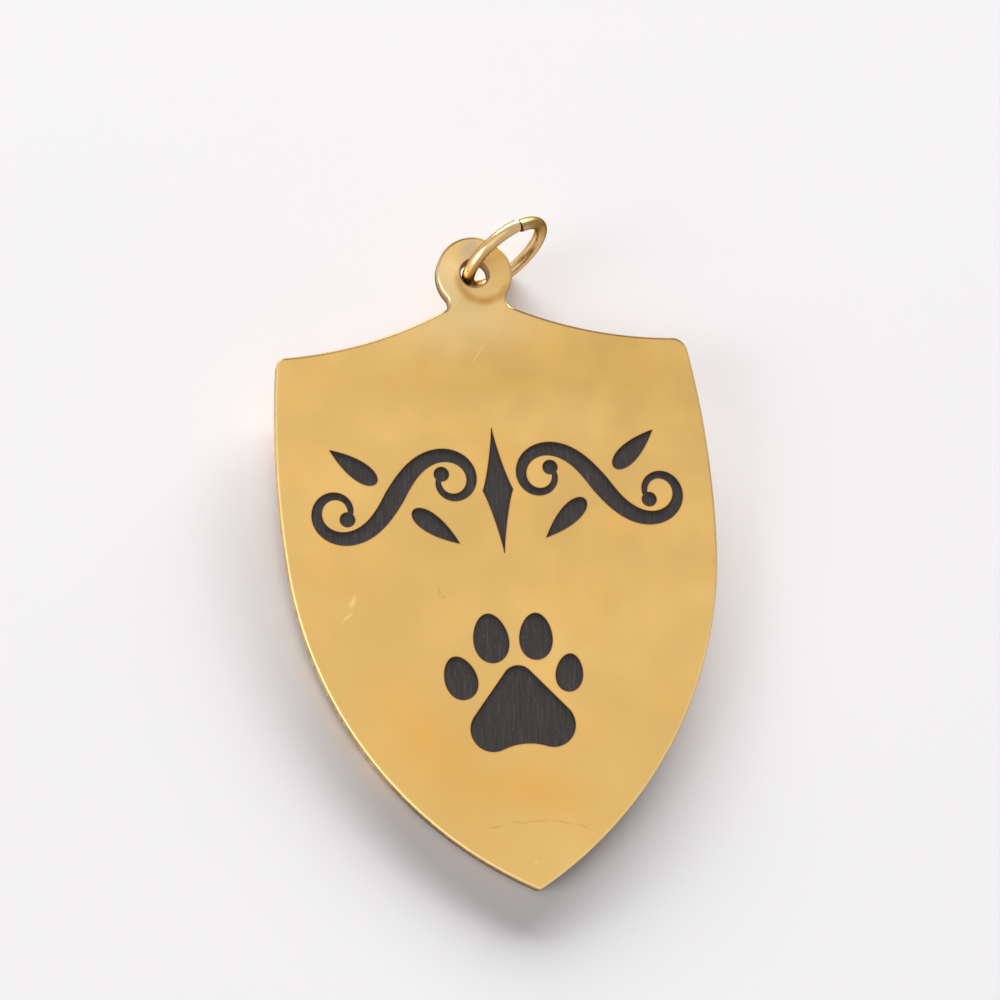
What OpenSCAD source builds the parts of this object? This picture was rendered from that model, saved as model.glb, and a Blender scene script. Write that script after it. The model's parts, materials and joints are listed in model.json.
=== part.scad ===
// Shield-shaped pet tag with a jump ring through its eyelet.
// Lengths are in millimetres and angles in degrees.
// The plate is drawn flat first: x to the right, y towards the eyelet with zero at the widest
// line, z out of the engraved face with zero at the back. Then everything is laid down as it
// rests on a table, on its back, with the ring holding the eyelet end up.

/* [Plate] */
// Width at the widest line
plate_w = 34; // [29:0.5:38]
// Thickness of the metal
plate_t = 1.5; // [1:0.1:2]
// From the widest line down to where the two lower edges would meet
point_drop = 31.5; // [27:0.5:36]
// Radius of the long lower edges
lower_r = 31.6; // [29:0.2:38]
// Radius of the flatter edges beside the widest line
side_r = 76; // [60:1:90]
// Rounding of the point
tip_r = 0.35; // [0.2:0.05:1]
// From the widest line up to the lowest line of the shoulders
shoulder_rise = 11; // [9:0.5:13]
// Radius of the hollow shoulders
shoulder_r = 32; // [28:1:38]
// How far inside the widest width the shoulders are lowest
shoulder_inset = 0.5; // [0.3:0.1:1]
// Rounding of the two shoulder corners
corner_r = 0.7; // [0.4:0.1:1.2]

/* [Eyelet] */
// Outer diameter of the eyelet
eyelet_d = 6; // [5:0.1:7]
// How far the eyelet reaches down below the line where the two shoulders would meet
eyelet_sink = 1.48; // [1.2:0.04:1.8]
// Rounding between the eyelet and the shoulders
neck_r = 0.8; // [0.5:0.1:1]
// Play of the ring's wire in the eyelet's hole, on the diameter
wire_play = 1.2; // [0.9:0.1:1.6]

/* [Jump ring] */
// Outer diameter of the ring
ring_od = 8; // [7:0.25:9.5]
// Thickness of the round wire
wire_d = 1; // [0.8:0.05:1.2]
// Width of the cut between the wire's ends, on the outside
cut_outer_w = 0.06; // [0.04:0.01:0.1]
// Width of the cut between the wire's ends, on the inside
cut_inner_w = 0.34; // [0.2:0.02:0.5]
// How far the ring has swung to the right from straight up
ring_swing = 59; // [40:1:75]
// How far the ring leans over from standing square to the plate
ring_lean = 12.4; // [5:0.2:18]
// Where the cut is, round the ring from its outermost point towards the front
cut_turn = 70; // [60:1:110]

/* [Engraving] */
// Depth of the engraved figures
engrave_depth = 0.3; // [0.2:0.05:0.5]
// How far the black filling stays below the plate's face
fill_sink = 0.1; // [0.05:0.01:0.15]

/* [Paw print] */
// Width of the whole paw print
paw_w = 10.8; // [9:0.1:13]
// From the widest line down to the pad's lobes
paw_drop = 19.15; // [18:0.1:20]

/* [Ornament] */
// From the widest line down to the ornament's middle
ornament_drop = 0.6; // [0:0.1:1.2]
// Length of one scroll arm, from its middle to its curled end
scroll_arm = 13.4; // [12.6:0.1:13.8]
// From the middle line to the middle of each scroll
scroll_out = 8.1; // [8:0.1:8.3]
// Thickness of a scroll at its middle
stroke_thick = 1.5; // [0.9:0.05:1.6]
// Thickness of a scroll towards its ends
stroke_thin = 0.34; // [0.25:0.01:0.45]
// Diameter of the ball at a scroll's end
ball_d = 1.15; // [0.7:0.05:1.3]
// Width of the star between the scrolls
star_w = 2.4; // [1.8:0.1:2.6]
// Height of the star between the scrolls
star_h = 10; // [7:0.1:11]
// Length of a leaf
leaf_l = 4.4; // [3:0.1:4.8]
// Width of a leaf
leaf_w = 1.5; // [1:0.05:1.8]
// From a scroll's middle to the middle of each leaf, across
leaf_out = 3; // [2.6:0.1:3.4]
// From a scroll's middle to the middle of each leaf, up or down
leaf_rise = 2.6; // [2.2:0.05:3]

/* [Hidden] */

gold = "#dab26b";
ring_gold = "#c8b07f";
black = "#3f3b3a";

// Steps round a full circle of the wire
wire_steps = 96;
// Greatest turn and greatest length from one point of an outline to the next
step_turn = 6;
step_l = 2;
// How far a cutter runs past what it cuts
overrun = plate_t;

// Paw print, in shares of paw_w: the toes' places from the middle of the pad's lobes, with
// x, y, length, width, and then the lean to the left in degrees
outer_left_toe_shares = [-0.41, 0.38, 0.315, 0.228, 14];
inner_left_toe_shares = [-0.165, 0.646, 0.355, 0.25, 4];
inner_right_toe_shares = [0.16, 0.636, 0.336, 0.236, -5];
outer_right_toe_shares = [0.373, 0.358, 0.272, 0.193, -11];
// How much narrower than its middle a toe is towards the top, as a share
toe_taper_share = 0.12;
lobe_out_share = 0.216;
lobe_r_share = 0.159;
apex_rise_share = 0.323;
apex_r_share = 0.115;
hollow_drop_share = 0.1185;

// How far the wire lies beyond the hole's centre, in the play that it has, as a share
wire_off_share = 0.3;

// How far a scroll's end is turned against its middle, and the middle against the x axis
scroll_end_turn = 370;
scroll_slope_turn = 56;
arm_steps = 40;
ball_steps = 24;
// How hollow the star's sides are: 2 is straight
star_power = 2.4;
// How far the leaves point up from the x axis, and the points round one
leaf_turn = 40;
leaf_steps = 36;

// Direction in which the plate leans down on the table, counted from +X
rest_way = 236;

wire_r = wire_d / 2;
hole_d = wire_d + wire_play;
ring_mid_r = (ring_od - wire_d) / 2;

// Plane geometry

// The point at distance ra from a and rb from b, on the left when looking from a to b
function meet(a, ra, b, rb) =
    let (
        gap = norm(b - a),
        along = (b - a) / gap,
        run = (ra * ra - rb * rb + gap * gap) / (2 * gap),
        off = sqrt(ra * ra - run * run)
    )
    a + run * along + off * [-along.y, along.x];
function heading(from, to) = atan2(to.y - from.y, to.x - from.x);
function on_circle(centre, r, turn) = centre + r * [cos(turn), sin(turn)];
// Points from one turn up to another round a centre, without the last one
function arc(centre, r, from, to) =
    let (
        turn = abs(to - from),
        steps = max(2, ceil(turn / step_turn), ceil(turn * PI / 180 * r / step_l))
    )
    [for (i = [0 : steps - 1]) on_circle(centre, r, from + (to - from) * i / steps)];
function backwards(points) = [for (i = [len(points) - 1 : -1 : 0]) points[i]];
// A right-hand half outline, from bottom to top, and its mirror image
function both_halves(half) = concat(half, [for (p = backwards(half)) if (abs(p.x) > 0) [-p.x, p.y]]);

// Centres of the arcs that make up the right-hand half of the plate's outline. Each arc is
// tangent to the next one.
side_c = [plate_w / 2 - side_r, 0];
lower_c = meet(side_c, side_r - lower_r, [0, -point_drop], lower_r);
shoulder_c = [plate_w / 2 - shoulder_inset, shoulder_rise + shoulder_r];
shoulders_meet = shoulder_c.y - sqrt(shoulder_r * shoulder_r - shoulder_c.x * shoulder_c.x);
eyelet_c = [0, shoulders_meet + eyelet_d / 2 - eyelet_sink];
corner_c = meet(shoulder_c, shoulder_r + corner_r, side_c, side_r - corner_r);
neck_c = meet(shoulder_c, shoulder_r - neck_r, eyelet_c, eyelet_d / 2 + neck_r);
tip_c = [0, lower_c.y - sqrt(pow(lower_r - tip_r, 2) - lower_c.x * lower_c.x)];

function plate_outline() = both_halves(concat(
    arc(tip_c, tip_r, -90, heading(lower_c, tip_c)),
    arc(lower_c, lower_r, heading(lower_c, tip_c), heading(side_c, lower_c)),
    arc(side_c, side_r, heading(side_c, lower_c), heading(side_c, corner_c)),
    arc(corner_c, corner_r, heading(side_c, corner_c), heading(corner_c, shoulder_c)),
    arc(shoulder_c, shoulder_r, heading(shoulder_c, corner_c), heading(shoulder_c, neck_c)),
    arc(neck_c, neck_r, heading(shoulder_c, neck_c) + 360, heading(neck_c, eyelet_c)),
    arc(eyelet_c, eyelet_d / 2, heading(eyelet_c, neck_c), 90),
    [on_circle(eyelet_c, eyelet_d / 2, 90)]));

// Outlines of the engraved figures

// An egg, narrower at its top end, leaning to the left
function toe_outline(shares) =
    let (length = shares[2] * paw_w, width = shares[3] * paw_w, lean = shares[4])
    [for (turn = [0 : 2 * step_turn : 359])
        let (
            x = width / 2 * cos(turn) * (1 - toe_taper_share * sin(turn)),
            y = length / 2 * sin(turn)
        )
        [shares[0] * paw_w + x * cos(lean) - y * sin(lean),
         shares[1] * paw_w - paw_drop + x * sin(lean) + y * cos(lean)]];

// The pad: a round apex, two round lobes and a hollow base, tangent to each other
function pad_outline() =
    let (
        lobe_c = [lobe_out_share * paw_w, -paw_drop],
        lobe_r = lobe_r_share * paw_w,
        apex_c = [0, apex_rise_share * paw_w - paw_drop],
        apex_r = apex_r_share * paw_w,
        hollow_drop = hollow_drop_share * paw_w,
        hollow_r = (lobe_c.x * lobe_c.x + hollow_drop * hollow_drop - lobe_r * lobe_r)
            / (2 * (lobe_r - hollow_drop)),
        hollow_c = [0, -paw_drop - hollow_drop - hollow_r],
        flank = heading(apex_c, lobe_c) + acos((apex_r - lobe_r) / norm(lobe_c - apex_c))
    )
    both_halves(concat(
        arc(hollow_c, hollow_r, 90, heading(hollow_c, lobe_c)),
        arc(lobe_c, lobe_r, heading(lobe_c, hollow_c), flank),
        arc(apex_c, apex_r, flank, 90),
        [on_circle(apex_c, apex_r, 90)]));

// A four-pointed star with hollow sides
function star_outline() =
    [for (turn = [0 : step_turn : 359])
        [star_w / 2 * hollowed(cos(turn)), star_h / 2 * hollowed(sin(turn)) - ornament_drop]];
function hollowed(share) = sign(share) * pow(abs(share), star_power);

// A scroll is a double spiral whose heading grows with the square of the way along it.
// Way along an arm runs from 0 at the scroll's middle to 1 at the curled end.
function scroll_heading(way) = scroll_end_turn * way * way - scroll_slope_turn;
// Places along one arm, each one step further on than the last
function arm_places(i = 0, at = [0, 0]) =
    i == arm_steps ? [at] :
    let (turn = scroll_heading((i + 0.5) / arm_steps), step = scroll_arm / arm_steps)
    concat([at], arm_places(i + 1, at + step * [cos(turn), sin(turn)]));
// The stroke thins out evenly along the arm
function half_stroke(way) = (stroke_thick + (stroke_thin - stroke_thick) * way) / 2;
// One edge of the stroke along an arm, to the left or to the right of its middle line
function arm_edge(side) =
    let (places = arm_places())
    [for (i = [0 : arm_steps])
        let (way = i / arm_steps, turn = scroll_heading(way))
        places[i] + side * half_stroke(way) * [-sin(turn), cos(turn)]];
// The other arm is this one turned half round
function scroll_outline() =
    let (left = arm_edge(1), there = concat(arm_edge(-1), [for (i = [arm_steps : -1 : 1]) left[i]]))
    concat(there, [for (p = there) -p]);

// A drop with one round end and one pointed end, along x
function leaf_outline() =
    [for (i = [0 : leaf_steps - 1])
        let (turn = 360 * i / leaf_steps)
        [leaf_l / 2 * cos(turn), leaf_w / 2 * sin(turn) * 1.3 * sin(turn / 2)]];

// A scroll with a ball at each end
module scroll() {
    polygon(scroll_outline());
    for (side = [-1, 1])
        translate(side * arm_places()[arm_steps]) circle(d = ball_d, $fn = ball_steps);
}

module plate_figures() {
    polygon(pad_outline());
    for (shares = [outer_left_toe_shares, inner_left_toe_shares,
                   inner_right_toe_shares, outer_right_toe_shares])
        polygon(toe_outline(shares));
    polygon(star_outline());
    for (side = [-1, 1]) {
        scroll_place(side) scroll();
        for (up = [-1, 1]) leaf_place(side, up) polygon(leaf_outline());
    }
}

// The right-hand scroll stands as drawn, and the left-hand one is its mirror image
module scroll_place(side) {
    mirror([side < 0 ? 1 : 0, 0, 0])
        translate([scroll_out, -ornament_drop, 0])
            children();
}

// One leaf lies above each scroll's outer half and one below its inner half
module leaf_place(side, up) {
    scroll_place(side)
        translate([up * leaf_out, up * leaf_rise, 0])
            rotate([0, 0, leaf_turn + (up > 0 ? 0 : 180)])
                children();
}

// The ring's place on the flat plate

ring_way = 90 - ring_swing;
ring_out = ring_mid_r - wire_off_share * wire_play;
ring_c = [ring_out * cos(ring_way), eyelet_c.y + ring_out * sin(ring_way), plate_t / 2];
// Unit vectors in the ring's plane, out of the hole and upwards, and along the ring's axis
ring_along = [cos(ring_way), sin(ring_way), 0];
ring_up = cos(ring_lean) * [0, 0, 1] + sin(ring_lean) * [-sin(ring_way), cos(ring_way), 0];
ring_axis = cross(ring_along, ring_up);

// Lying on the table. The plate rests on its lower left edge and on the ring's lowest point.

ring_foot = ring_c - ring_mid_r * ring_up - [0, 0, wire_r];
rest_dir = [cos(rest_way), sin(rest_way), 0];
edge_reach = max([for (p = plate_outline()) p.x * rest_dir.x + p.y * rest_dir.y]);
rest_tilt = asin(-ring_foot.z / (edge_reach - ring_foot * rest_dir));
rest_axis = [-rest_dir.y, rest_dir.x, 0];
function tilted(p) =
    p * cos(rest_tilt) + cross(rest_axis, p) * sin(rest_tilt)
    + rest_axis * (rest_axis * p) * (1 - cos(rest_tilt));
// How far the plate and the ring reach in a direction, before they are moved
plate_corners = [for (p = plate_outline(), z = [0, plate_t]) tilted([p.x, p.y, z])];
function ring_reach(way) =
    tilted(ring_c) * way + wire_r + ring_mid_r * sqrt(1 - pow(tilted(ring_axis) * way, 2));
function reach(way) = max(ring_reach(way), max([for (p = plate_corners) p * way]));
// The middle of the whole tag and its lowest point go to the origin
rest_shift = [
    (reach([-1, 0, 0]) - reach([1, 0, 0])) / 2,
    (reach([0, -1, 0]) - reach([0, 1, 0])) / 2,
    reach([0, 0, -1])];
module lying() {
    translate(rest_shift)
        rotate(a = rest_tilt, v = rest_axis)
            children();
}

module tag_plate() {
    color(gold) lying() difference() {
        linear_extrude(height = plate_t) polygon(plate_outline());
        translate([0, eyelet_c.y, -overrun])
            cylinder(h = plate_t + 2 * overrun, d = hole_d, $fn = wire_steps);
        translate([0, 0, plate_t - engrave_depth])
            linear_extrude(height = engrave_depth + overrun) plate_figures();
    }
}

module jump_ring() {
    // The cut is a wedge across the wire, wider on the inside
    inner_x = ring_mid_r - wire_d;
    outer_x = ring_mid_r + wire_d;
    slope = (cut_inner_w - cut_outer_w) / wire_d;
    function half_cut(x) = (cut_outer_w + slope * (ring_mid_r + wire_r - x)) / 2;
    function wedge_x(x) = min(x, ring_mid_r + wire_r + cut_outer_w / slope / 2);
    color(ring_gold) lying() translate(ring_c) rotate([90 - ring_lean, 0, ring_way]) difference() {
        rotate_extrude($fn = wire_steps)
            translate([ring_mid_r, 0]) circle(d = wire_d, $fn = wire_steps / 2);
        rotate([0, 0, cut_turn]) translate([0, 0, -wire_d])
            linear_extrude(height = 2 * wire_d)
                polygon([
                    [inner_x, -half_cut(inner_x)],
                    [wedge_x(outer_x), -half_cut(wedge_x(outer_x))],
                    [wedge_x(outer_x), half_cut(wedge_x(outer_x))],
                    [inner_x, half_cut(inner_x)]]);
    }
}

// Black filling in an engraved figure: it lies on the pocket's floor, below the plate's face
module filling() {
    color(black) lying()
        translate([0, 0, plate_t - engrave_depth])
            linear_extrude(height = engrave_depth - fill_sink)
                children();
}

module pad_filling() {
    filling() polygon(pad_outline());
}

module toe_filling(shares) {
    filling() polygon(toe_outline(shares));
}

module star_filling() {
    filling() polygon(star_outline());
}

module scroll_filling(side) {
    filling() scroll_place(side) scroll();
}

module leaf_filling(side, up) {
    filling() leaf_place(side, up) polygon(leaf_outline());
}

tag_plate();
jump_ring();
pad_filling();
toe_filling(outer_left_toe_shares);  // outer_left_toe_filling
toe_filling(inner_left_toe_shares);  // inner_left_toe_filling
toe_filling(inner_right_toe_shares);  // inner_right_toe_filling
toe_filling(outer_right_toe_shares);  // outer_right_toe_filling
star_filling();
scroll_filling(-1);  // left_scroll_filling
scroll_filling(1);  // right_scroll_filling
leaf_filling(-1, 1);  // upper_left_leaf_filling
leaf_filling(-1, -1);  // lower_left_leaf_filling
leaf_filling(1, 1);  // upper_right_leaf_filling
leaf_filling(1, -1);  // lower_right_leaf_filling
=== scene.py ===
"""A pale brass pet tag on a table: a shield with an eyelet, a wire jump ring and black engraving.

Sizes are in millimetres and turns in degrees. The plate is worked out flat first: x to the right,
y towards the eyelet with zero at the widest line, z out of the engraved face with zero at the
back. lay_down() then puts it where it lies on the table.
"""

import json

import bpy
import numpy as np
from mathutils import Matrix, Vector
from mathutils.geometry import tessellate_polygon


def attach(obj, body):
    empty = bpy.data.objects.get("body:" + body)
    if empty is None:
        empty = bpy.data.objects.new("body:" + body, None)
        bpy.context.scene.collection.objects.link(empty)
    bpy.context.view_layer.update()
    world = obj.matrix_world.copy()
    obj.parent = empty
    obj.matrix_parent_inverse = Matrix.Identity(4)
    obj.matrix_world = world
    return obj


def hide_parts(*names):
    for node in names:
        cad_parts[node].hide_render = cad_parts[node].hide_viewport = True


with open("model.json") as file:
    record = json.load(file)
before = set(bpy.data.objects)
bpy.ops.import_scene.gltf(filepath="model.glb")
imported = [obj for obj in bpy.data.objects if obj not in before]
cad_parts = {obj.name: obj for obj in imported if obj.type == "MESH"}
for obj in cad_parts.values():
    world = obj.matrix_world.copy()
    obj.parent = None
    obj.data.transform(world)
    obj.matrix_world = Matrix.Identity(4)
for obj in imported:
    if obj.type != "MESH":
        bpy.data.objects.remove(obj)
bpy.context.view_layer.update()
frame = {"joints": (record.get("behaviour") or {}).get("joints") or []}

MM = 0.001

# A number under this is taken as 0
NOTHING = 1e-9

# Plate
PLATE_WIDTH = 34.0
PLATE_THICK = 1.5
POINT_DROP = 31.5
LOWER_RADIUS = 31.6
SIDE_RADIUS = 76.0
TIP_RADIUS = 0.35
SHOULDER_RISE = 11.0
SHOULDER_RADIUS = 32.0
SHOULDER_INSET = 0.5
CORNER_RADIUS = 0.7
NECK_RADIUS = 0.8
EYELET_WIDTH = 6.0
EYELET_SINK = 1.48
HOLE_WIDTH = 2.2

# How the right half of the plate differs from the left one
WORN_CORNER_RADIUS = 1.2
RIGHT_WIDER = 0.14
RIGHT_SHOULDER_DROP = 0.18

# Rounded edges of plate and hole, and the band beside the front edge over which its colour fades
FRONT_ROUNDING = 0.14
BACK_ROUNDING = 0.12
HOLE_ROUNDING = 0.12
EDGE_BAND = 0.12
EDGE_START = 0.2
FRONT_EDGE_STEPS = 6
BACK_EDGE_STEPS = 4
HOLE_EDGE_STEPS = 5

# Fewest steps along an arc of an outline, and the longest step along each arc
FEWEST_STEPS = 3
TIP_STEP = 0.04
LOWER_STEP = 0.3
SIDE_STEP = 0.4
CORNER_STEP = 0.06
SHOULDER_STEP = 0.3
NECK_STEP = 0.08
EYELET_STEP = 0.12
HOLE_STEP = 0.07
PAD_STEP = 0.1
BALL_STEP = 0.06

# Jump ring: its size, how it lies, how far its wire is off the hole's middle, and its cut
WIRE = 1.0
RING_RADIUS = 3.5
RING_SWING = 59.0
RING_LEAN = 12.4
RING_OFF = 0.36
RING_STRETCH = 0.045
RING_STEPS = 288
WIRE_POINTS = 40
CUT_TURN = 70.0
CUT_OUTSIDE = 0.06
CUT_INSIDE = 0.34
CUT_STEP = 0.14
WIRE_END_ROUNDING = 0.04
WIRE_END_STEPS = 5

# Engraving
POCKET_DEPTH = 0.3
POCKET_LIP = 0.035
LIP_TURNS = (0, 45, 90)
LIP_EDGE = 0.6
HALO = 0.14
CORNER_INSET = 0.02
FILL_SINK = 0.1
FILL_CLIMB = 0.015
FILL_RIM = 0.09
FILL_SHARES = (1.0, 0.7, 0.45, 0.25, 0.1, 0.0)

# The most that a border may take of the room that a narrow place leaves it
BAND_SHARE = 0.5
HALO_SHARE = 0.4
LIP_SHARE = 0.5
INSET_SHARE = 0.6

# The z of a normal where a pocket's wall meets its floor
CORNER_UP = 0.7

# Paw print. Toes: place, length and width as shares of the paw's width, and how far each leans
PAW_WIDTH = 10.8
PAW_DROP = 19.15
TOE_TAPER = 0.12
TOE_POINTS = 96
TOES = {
    "outer_left_toe_filling": (-0.41, 0.38, 0.315, 0.228, 14),
    "inner_left_toe_filling": (-0.165, 0.646, 0.355, 0.25, 4),
    "inner_right_toe_filling": (0.16, 0.636, 0.336, 0.236, -5),
    "outer_right_toe_filling": (0.373, 0.358, 0.272, 0.193, -11),
}

# Pad: place and radius of a lobe and of the apex, and the hollow's depth, as the same shares
PAD_LOBE = (0.216, 0.159)
PAD_APEX = (0.323, 0.115)
PAD_HOLLOW = 0.1185

# Ornament
ORNAMENT_DROP = 0.6
SCROLL_ARM = 13.4
SCROLL_OUT = 8.1
SCROLL_END_TURN = 370.0
SCROLL_SLOPE = 56.0
SCROLL_STEPS = 160
STROKE_THICK = 1.5
STROKE_THIN = 0.34
BALL_WIDTH = 1.15
STAR_WIDTH = 2.4
STAR_HEIGHT = 10.0
STAR_POWER = 2.4
STAR_POINTS = 240
LEAF_LENGTH = 4.4
LEAF_WIDTH = 1.5
LEAF_FULLNESS = 1.3
LEAF_OUT = 3.0
LEAF_RISE = 2.6
LEAF_TURN = 40.0
LEAF_POINTS = 120

# Painted shade on the front edge: gain times the cosine to one way, less the loss. The right-hand
# side also has a little painted shade above one height, and the more so the higher it lies.
EYELET_SHADE_WAY = (-0.3, 0.95)
SHIELD_SHADE_WAY = (0.34, 0.94)
EDGE_SHADE_GAIN = 1.5
EDGE_SHADE_LOSS = 0.5
SHADED_SIDE = 0.38
SHADED_FACING = 0.8
SHADE_START = -14.0
SHADE_FADE = 10.0

# The side wall stays bright near this height on the plate, to this far up and down from it
BRIGHT_HEIGHT = -8.0
BRIGHT_REACH = 13.0
BROWN_FADE = 4.0

# Painted shade darkens the hole's edges and wall, less so on the front rim towards one way, where
# it shows the lamps
HOLE_SHADE = 0.9
SHADE_LIFTED = 0.8
SHADE_LIFT_WAY = (0.82, 0.57)
SHADE_LIFT_GAIN = 2.5
SHADE_LIFT_LOSS = 1.5

# Painted shade on the ring: on the inner side of its first part and the outer side of the rest,
# and round one bend. Ways go from 0 at one end of the wire to 1 at the other.
WIRE_SHADE_MOST = 0.6
WIRE_SHADE_GAIN = 1.2
WIRE_SHADE_LOSS = 0.1
WIRE_SHADE_TURNOVER = 0.45
WIRE_SHADE_SUDDENNESS = 8.0
BEND_SHADE = 0.9
BEND_WAY = 0.92
BEND_REACH = 0.06

# How much less dull the cut ends are at their rim
BRIGHT_RIM = 0.5

# How far the noise of the drawn lines runs on over the whole wire
LINES_LENGTH = 1.2

# Wear, tone and painted light on the face, each an oval: x, y, length, width, turn
SCRATCHES = [
    (-0.3, 10.6, 2.8, 0.14, 54),
    (-12.1, -8.6, 1.5, 0.6, 61),
    (-12.6, -9.7, 1.6, 0.28, 38),
    (-0.1, -29.4, 0.5, 0.2, 8),
]
SMEARS = [
    (-5.4, -8.2, 0.8, 0.3, -70),
    (-5.1, -8.7, 0.6, 0.4, 30),
    (16.45, -7.4, 1.0, 0.24, 83),
    (-2.9, -26.5, 1.7, 0.26, 6),
    (-1.2, -26.3, 1.8, 0.22, -10),
    (0.4, -26.35, 2.6, 0.2, 0),
    (2.3, -26.6, 1.8, 0.22, -18),
    (3.8, -27.05, 1.6, 0.24, -28),
]
DARKER_PLACES = [
    (13.0, 8.0, 22.0, 12.0, -25),
    (3.0, 8.5, 26.0, 8.0, 0),
]
WARMER_PLACES = [
    (-7.5, -19.5, 16.0, 8.0, -58),
    (0.0, -24.0, 12.0, 4.0, -8),
]
# A painted shadow of the ring, a darker band round under the hole
RING_PAINTED_SHADOW = [
    (-1.35, 16.6, 1.8, 0.8, 103),
    (-0.95, 15.6, 2.4, 1.0, 130),
    (0.1, 14.85, 3.0, 1.1, 165),
    (1.3, 14.9, 2.8, 1.0, 14),
    (2.3, 15.6, 2.2, 0.9, 47),
]
# A painted reflection of the ring, greyer, on the eyelet beside the wire
RING_PAINTED_REFLECTION = [
    (-0.5, 18.9, 3.0, 1.6, 62),
    (0.1, 19.2, 2.2, 1.4, 50),
    (0.9, 18.2, 1.3, 0.6, -35),
]
PALE_PLACES = [
    (-1.0, 17.0, 9.0, 9.0, 0),
    (-1.0, 13.0, 14.0, 6.0, 0),
    # Twice, so twice as strong
    (-2.2, 16.6, 2.4, 5.0, 0),
    (-2.2, 16.6, 2.4, 5.0, 0),
]

# Height of every oval, enough for the slope of the face within it
OVAL_HEIGHT = 4.0

# Depth of the bumps
HAIR_DEPTH = 0.002
DRAWN_DEPTH = 0.004
STREAK_DEPTH = 0.012

# Photograph: pixels to a millimetre on the plate's face, and the camera's turns against it
PIXELS_PER_MM = 12.9
PICTURE_WIDTH = 1000
FOCAL_PIXELS = 2500.0
CAMERA_PITCH = -12.349
CAMERA_YAW = 10.446
CAMERA_ROLL = 6.142
CAMERA_SIDE = -0.966
FACE_MIDDLE = (0.0, -18.0 / PIXELS_PER_MM)

# From here on in metres
CAMERA_NEAR = 0.01
TABLE_REACH = 2.0

# How bright the room is where it is seen or mirrored, and how much it lights
ROOM_SEEN = 0.7
ROOM_LIGHT = 0.18

# Lamps: turn round from +x, tilt from upright, distance, width, height and brightness
SOFTBOXES = {
    "overhead_softbox": (-130, 14, 1.2, 1.2, 1.2, 0.33),
    "low_softbox": (78, 75, 3.2, 4.4, 0.9, 18.6),
    "side_softbox": (-172, 62, 1.4, 0.7, 0.7, 2.5),
}
WINDOW_PANEL = (-152, 69, 1.6, 1.7, 0.9, 2.2)


# Where the tag lies

hinge = frame["joints"][0]
hole_middle = np.array(hinge["pos_m"])
face_normal = np.array(hinge["axis"]) / np.linalg.norm(hinge["axis"])


def turned_about(axis, angle):
    """Turning matrix about a unit axis: I + sin(a) K + (1 - cos(a)) K K, angle in radians."""
    x, y, z = axis
    cross = np.array([[0, -z, y], [z, 0, -x], [-y, x, 0]])
    return np.eye(3) + np.sin(angle) * cross + (1 - np.cos(angle)) * cross @ cross


lean_axis = np.array([-face_normal[1], face_normal[0], 0]) / np.hypot(*face_normal[:2])
lying_turn = turned_about(lean_axis, np.arccos(face_normal[2]))


def meeting(a, radius_a, b, radius_b):
    """The point at radius_a from a and radius_b from b, on the left when looking from a to b."""
    a, b = np.array(a, float), np.array(b, float)
    gap = np.linalg.norm(b - a)
    along = (b - a) / gap
    run = (radius_a**2 - radius_b**2 + gap**2) / (2 * gap)
    return a + run * along + np.sqrt(radius_a**2 - run**2) * np.array([-along[1], along[0]])


def heading(start, end):
    """Direction from one point to another, counted from +x."""
    return np.degrees(np.arctan2(end[1] - start[1], end[0] - start[0]))


shoulder_middle = np.array([PLATE_WIDTH / 2 - SHOULDER_INSET, SHOULDER_RISE + SHOULDER_RADIUS])
shoulders_meet = shoulder_middle[1] - np.sqrt(SHOULDER_RADIUS**2 - shoulder_middle[0] ** 2)
eyelet_middle = np.array([0, shoulders_meet + EYELET_WIDTH / 2 - EYELET_SINK])


def lay_down(points):
    """Points of the flat plate, in mm, to where they lie in the row frame, in metres."""
    from_hole = points - np.array([*eyelet_middle, PLATE_THICK / 2])
    return hole_middle + MM * from_hole @ lying_turn.T


# Outlines. Each is a closed row of points, anticlockwise, without the first one again at the end.


def arc(middle, radius, start, end, step):
    """Points from one turn up to another round a middle, evenly, without the last one."""
    count = max(FEWEST_STEPS, int(np.ceil(abs(np.radians(end - start)) * radius / step)))
    turns = np.radians(start + (end - start) * np.arange(count) / count)
    return np.array(middle) + radius * np.stack([np.cos(turns), np.sin(turns)], 1)


def both_halves(right_half, twin=None):
    """A right-hand half outline, from bottom to top, with its own or its twin's mirror image."""
    left_half = (right_half if twin is None else twin)[::-1] * [-1, 1]
    inside = np.abs(left_half[:, 0]) > NOTHING
    return np.concatenate([right_half, left_half[inside]])


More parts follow.
